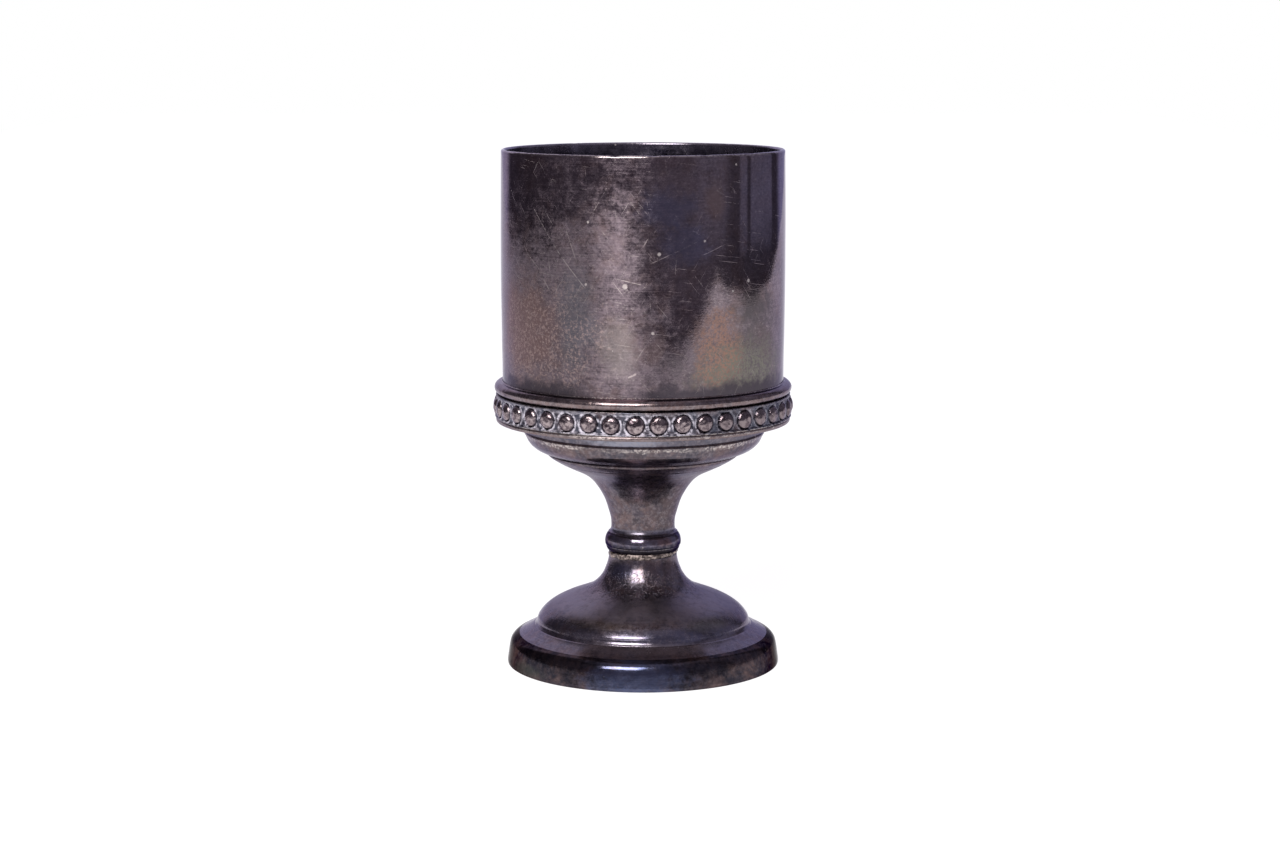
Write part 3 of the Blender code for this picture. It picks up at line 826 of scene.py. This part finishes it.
def make_knop():
    """The ring at the waist: a half-round, cut back by a small step below its middle."""
    middle = (8.35, 31.0)
    top = STEM_BOTTOM - HAIRLINE
    outline = [(STEM_BORE, top), (8.62, top)] + arc(middle, (1.3, 2.35), 71, -17, 26)
    outline += arc(middle, (1.15, 2.45), -19, -68, 14)
    outline += [(8.6, KNOP_BOTTOM - 0.1), (STEM_BORE, KNOP_BOTTOM - 0.1)]
    mesh = lathe("knop_ring", outline, 256, worn_shape(0.02, 4.0, 61))
    # The dark line at 29.3 is painted shade under the ring's bulge; the one at the knop's top is dirt in the
    # joint.
    dirt = [(29.3, 0.75, 0.95), (KNOP_TOP, 0.3, 0.6)]
    tinges = [((38, 31.6), (17, 1.5), (0.20, 0.125, 0.125), 0.8)]
    # Painted shade: the ring's lower half darkened all round.
    tinges += [((0, 30.2), (400, 1.4), (0.030, 0.028, 0.044), 0.95)]
    # The pale line at the step is worn metal and a painted highlight.
    wear_and_highlight_lines = [(29.95, 0.12, 0.35)]
    edge = (0.30, 0.29, 0.36)
    scuff = (0.25,) * 3
    material = dark_material("knop_plate", KNOP_TINT, scuff, 0.2, 0.12, wear_and_highlight_lines, dirt, tinges, edge=edge)
    piece("knop_ring", mesh, material, "dark_plate", "knop_ring")


def solder_shape(angle, radius, height):
    """Lumps in the solder, and its tilt from left to right."""
    points = on_axis(angle, radius, height)
    lumps = ripple(points, 3.1, 71) + 0.5 * ripple(points, 1.1, 72)
    outside = radius > 8.3
    radius = radius + outside * (0.13 * lumps)
    spread = 1 + 0.9 * np.clip(np.cos(np.radians(angle)), 0, 1)
    height = SOLDER_HEIGHT + (height - SOLDER_HEIGHT) * np.where(outside, spread, 1)
    height = height + outside * (0.35 * np.sin(np.radians(angle)) + 0.14 * ripple(points, 3.0, 73))
    return radius, height, {}


def make_joint_solder():
    """The uneven line of solder that closes the joint between the knop and the foot."""
    centre = (8.62, SOLDER_HEIGHT)
    outline = [(7.2, KNOP_BOTTOM - 0.15)] + arc(centre, (0.28, 0.38), 100, -100, 18)
    outline += [(7.2, FOOT_TOP + 0.05)]
    mesh = lathe("joint_solder", outline, 256, solder_shape)
    piece("joint_solder", mesh, solder_material(), "solder_grey", "joint_solder")


def make_foot_dome():
    """The spun foot: neck, dome, and the cove that spreads onto the plinth."""
    neck = [(8.6, FOOT_TOP), (8.82, 26.2), (9.31, 24.6), (10.27, 22.5), (11.7, 20.7), (13.9, 19.1)]
    dome = [(17.3, 17.7), (20.4, 16.5), (23.3, 15.0), (25.25, 13.5), (26.5, 12.0), (26.86, 11.2)]
    cove = [(27.05, 10.5), (27.4, 9.95), (28.1, 9.4), (29.4, 8.6), (31.5, STEP_HEIGHT)]
    outer = scored(curve_through(neck + dome + cove, 10), [(9.75, 0.06, 0.18)])
    inner = inner_side(outer, WALL)
    inner[0] = (inner[0][0], FOOT_TOP)
    mesh = lathe("foot_dome", outer + inner[::-3], 480, worn_shape(0.02, 9.0, 81))
    navy = (0.125, 0.130, 0.205)
    tinges = [((-38, 24.5), (26, 2.2), navy, 0.8), ((22, 11.5), (50, 2.4), navy, 0.6)]
    tinges += [((-30, 14), (24, 1.5), (0.16, 0.125, 0.10), 0.6)]
    tinges += [((40, 13.5), (18, 2), (0.17, 0.16, 0.13), 0.5)]
    tinges += [((5, 9.2), (50, 1.3), (0.26, 0.235, 0.265), 0.75)]
    # Painted reflection of the light from above: a lighter band all round the dome's top.
    tinges += [((0, 16.9), (400, 2.6), (0.30, 0.27, 0.31), 0.6)]
    scuff = (0.25, 0.75, 0.32)
    material = dark_material("dome_plate", FOOT_TINT, scuff, 0.30, 0.15, tinges=tinges, pitted=2.5)
    piece("foot_dome", mesh, material, "dark_plate", "foot_dome")


def make_foot_plinth():
    """The band that the foot stands on, with a ledge inside that carries the dome."""
    shoulder = [(31.54, STEP_HEIGHT - 0.02), (32.4, 7.0), (33.1, 6.45), (33.6, 5.75)]
    shoulder += [(33.92, 4.7), (34.2, 3.0), (34.5, 0.8)]
    ledge = [(PLINTH_BORE, 4.2), (30.0, 4.9), (30.0, 5.7), (31.5, 5.9), (31.52, 7.2)]
    foot = [(34.52, 0.3), (34.48, 0.06), (34.3, 0.0), (PLINTH_BORE + 0.1, 0.0), (PLINTH_BORE, 0.1)]
    mesh = lathe("foot_plinth", curve_through(shoulder, 8) + foot + ledge, 480, worn_shape(0.012, 8.0, 91))
    edge = (0.37, 0.36, 0.36)
    tinges = [((-3, 3), (24, 6), (0.092, 0.108, 0.190), 0.85)]
    tinges += [((-58, 1.5), (14, 2.2), (0.060, 0.063, 0.060), 0.7)]
    tinges += [((-125, 3), (30, 4), (0.095, 0.112, 0.195), 0.6)]
    tinges += [((120, 3), (40, 4), (0.10, 0.085, 0.08), 0.6)]
    material = dark_material("plinth_plate", PLINTH_TINT, (0.2,) * 3, 0.1, 0.13, tinges=tinges, edge=edge)
    piece("foot_plinth", mesh, material, "dark_plate", "foot_plinth")


def make_foot_rim_wire():
    """The round wire that stiffens the foot's lower edge from inside."""
    radius = 0.8
    ring = arc((PLINTH_BORE - 0.3 - radius, radius), (radius, radius), 90, -270, 20)[:-1]
    mesh = lathe("foot_rim_wire", ring, 320, worn_shape(0.01, 6.0, 95))
    material = dark_material("wire_plate", STEM_TINT, brown=0.4)
    piece("foot_rim_wire", mesh, material, "dark_plate", "foot_rim_wire")


def thread_shape(angle, radius, height):
    """A helical thread on the two ends of the rod."""
    turn = (height / THREAD_PITCH - angle / 360) % 1
    ridge = np.abs(turn * 2 - 1)
    ends = (height < NUT_TOP + 2) | (height > BOSS_BOTTOM - 2)
    outside = (radius > ROD_RADIUS - 0.1) & ends
    return radius - outside * 0.38 * ridge, height, {}


def make_fixing(brass):
    """The rod, boss, washer and nut that draw the chalice together."""
    chamfer = 0.5
    rod = [(0.0, ROD_TOP), (ROD_RADIUS - chamfer, ROD_TOP), (ROD_RADIUS, ROD_TOP - chamfer)]
    rod += straight(rod[-1], (ROD_RADIUS, ROD_BOTTOM + chamfer), 480)
    rod += [(ROD_RADIUS - chamfer, ROD_BOTTOM), (0.0, ROD_BOTTOM)]
    mesh = lathe("tie_rod", rod, 64, thread_shape, closed=False)
    piece("tie_rod", mesh, brass, "raw_brass", "tie_rod")
    bore = FIXING_BORE
    boss = [(0.0, BOSS_TOP), (BOSS_RADIUS, BOSS_TOP), (BOSS_RADIUS, BOSS_BOTTOM + 0.6)]
    boss += arc((5.9, BOSS_BOTTOM + 0.6), (0.6, 0.6), -15, -90, 5)
    boss += [(bore, BOSS_BOTTOM), (bore, BOSS_TOP - 0.5), (0.0, BOSS_TOP - 0.5)]
    mesh = lathe("rod_boss", boss, 128, closed=False)
    piece("rod_boss", mesh, brass, "raw_brass", "rod_boss")
    outer = WASHER_RADIUS
    washer = [(bore, WASHER_TOP), (outer - 0.5, WASHER_TOP)]
    washer += arc((outer - 0.4, WASHER_TOP - 0.4), (0.4, 0.4), 80, 0, 4)
    washer += arc((outer - 0.2, WASHER_BOTTOM + 0.2), (0.2, 0.2), 0, -90, 3) + [(bore + 0.2, WASHER_BOTTOM)]
    washer += [(bore, WASHER_BOTTOM + 0.2)]
    mesh = lathe("foot_washer", washer, 160, worn_shape(0.02, 5.0, 101))
    piece("foot_washer", mesh, brass, "raw_brass", "foot_washer")


def nut_shape(angle, radius, height):
    """Six flats round the nut, its corners turned down at both ends."""
    to_flat = (angle + 30) % 60 - 30
    flats = HALF_NUT / np.cos(np.radians(to_flat))
    ends = np.maximum(height - NUT_TOP, NUT_BOTTOM - height)
    crown = 4.9 - (ends + 0.02) * 1.7
    outside = radius > 4.5
    return np.where(outside, np.minimum(np.minimum(flats, crown), radius), radius), height, {}


def make_nut(brass):
    """The hexagon nut on the rod's lower end."""
    bore = FIXING_BORE
    corner = HALF_NUT / math.cos(math.radians(30))
    outline = [(bore + 0.2, NUT_TOP), (4.7, NUT_TOP)]
    outline += straight((corner, NUT_TOP), (corner, NUT_BOTTOM), 40)
    outline += [(4.7, NUT_BOTTOM), (bore + 0.2, NUT_BOTTOM), (bore, NUT_BOTTOM + 0.2), (bore, NUT_TOP - 0.2)]
    mesh = lathe("foot_nut", outline, 180, nut_shape)
    piece("foot_nut", mesh, brass, "raw_brass", "foot_nut")


# ---------------------------------------------------------------- stage, light, camera


def make_floor():
    """A plain pale table top that glows a little. It is clear from below, to show the underside."""
    mesh = bpy.data.meshes.new("floor")
    left, right, front, back = -0.95, 0.88, -0.5, 4.0
    corners = [(left, front, 0), (right, front, 0), (right, back, 0), (left, back, 0)]
    mesh.from_pydata(corners, [], [(0, 1, 2, 3)])
    floor = bpy.data.objects.new("floor", mesh)
    bpy.context.scene.collection.objects.link(floor)
    material = bpy.data.materials.new("pale_floor")
    material.use_nodes = True
    tree = material.node_tree
    graph = Graph(tree)
    shader = tree.nodes["Principled BSDF"]
    graph.feed(shader.inputs["Base Color"], (0.28, 0.28, 0.28))
    graph.feed(shader.inputs["Roughness"], 0.9)
    graph.feed(shader.inputs["Emission Color"], (1.0, 0.99, 1.0))
    graph.feed(shader.inputs["Emission Strength"], 0.90)
    below = graph.node("ShaderNodeNewGeometry", {}).outputs["Backfacing"]
    clear = graph.node("ShaderNodeBsdfTransparent", {}).outputs[0]
    mixed = graph.node("ShaderNodeMixShader", {0: below, 1: shader.outputs[0], 2: clear})
    graph.feed(tree.nodes["Material Output"].inputs["Surface"], mixed.outputs[0])
    mesh.materials.append(material)


def make_light():
    """One large soft box, upper left of the camera."""
    light = bpy.data.lights.new("softbox", "AREA")
    light.shape = "RECTANGLE"
    light.size = 0.64
    light.size_y = 0.58
    light.energy = 13.0
    light.color = (1.0, 0.965, 0.95)
    lamp = bpy.data.objects.new("softbox", light)
    lamp.location = (-0.31, -0.895, 0.80)
    aim = -lamp.location
    aim.z += 0.08
    lamp.rotation_euler = aim.to_track_quat("-Z", "Y").to_euler()
    lamp.visible_camera = False
    bpy.context.scene.collection.objects.link(lamp)


def make_world():
    """A dim room in front, pale panels on the right, and a sweep of paper behind the chalice."""
    world = bpy.data.worlds.new("studio")
    world.use_nodes = True
    tree = world.node_tree
    graph = Graph(tree)
    bpy.context.scene.world = world
    direction = graph.node("ShaderNodeTexCoord", {}).outputs["Generated"]
    split = graph.node("ShaderNodeSeparateXYZ", {0: direction}).outputs
    turn = graph.calc("DEGREES", graph.calc("ARCTAN2", split[0], graph.times(split[1], -1.0)))
    sideways_turn = graph.calc("ABSOLUTE", turn)
    colour = graph.blend(graph.step(sideways_turn, 20, 110), (0.205, 0.185, 0.230), (0.095, 0.085, 0.108))
    above = graph.step(split[2], math.sin(math.radians(-4.8)), math.sin(math.radians(-3.8)))
    for low, high, soft, share in ((42, 70, 6, 0.9), (84, 92, 1, 1.0), (96, 126, 1, 1.0)):
        starts = graph.step(turn, low - soft, low + soft)
        ends = graph.step(turn, high + soft, high - soft)
        panel = graph.times(starts, ends, above, share)
        colour = graph.blend(panel, colour, (0.27, 0.258, 0.335))
    colour = graph.blend(graph.step(split[2], 0.80, 0.985), colour, (0.44, 0.40, 0.46))
    behind = graph.step(sideways_turn, 134, 146)
    paper = graph.blend(graph.step(turn, -60, 60), (0.80, 0.76, 0.92), (0.51, 0.50, 0.70))
    colour = graph.blend(behind, colour, paper)
    camera = graph.node("ShaderNodeLightPath", {}).outputs["Is Camera Ray"]
    colour = graph.blend(camera, colour, (1.0, 1.0, 1.0))
    background = tree.nodes["Background"]
    graph.feed(background.inputs["Color"], colour)
    graph.feed(background.inputs["Strength"], 1.0)


def make_camera():
    """A long lens, two thirds of a metre away, that looks slightly down."""
    camera = bpy.data.cameras.new("camera")
    camera.sensor_width = 36.0
    camera.lens = 73.27
    view = bpy.data.objects.new("camera", camera)
    view.location = (-0.00076, -0.650, 0.161)
    view.rotation_euler = (math.radians(90 - 8.83), 0.0, 0.0)
    bpy.context.scene.collection.objects.link(view)
    bpy.context.scene.camera = view


def main():
    """Builds the pieces, the stage and the camera."""
    bpy.context.scene.view_settings.view_transform = "Standard"
    make_camera()
    make_cup()
    make_collar()
    make_bead_band()
    make_base_plate()
    make_bowl_dish()
    make_stem()
    make_knop()
    make_joint_solder()
    make_foot_dome()
    make_foot_plinth()
    make_foot_rim_wire()
    brass = brass_material()
    make_fixing(brass)
    make_nut(brass)
    make_floor()
    make_light()
    make_world()


main()
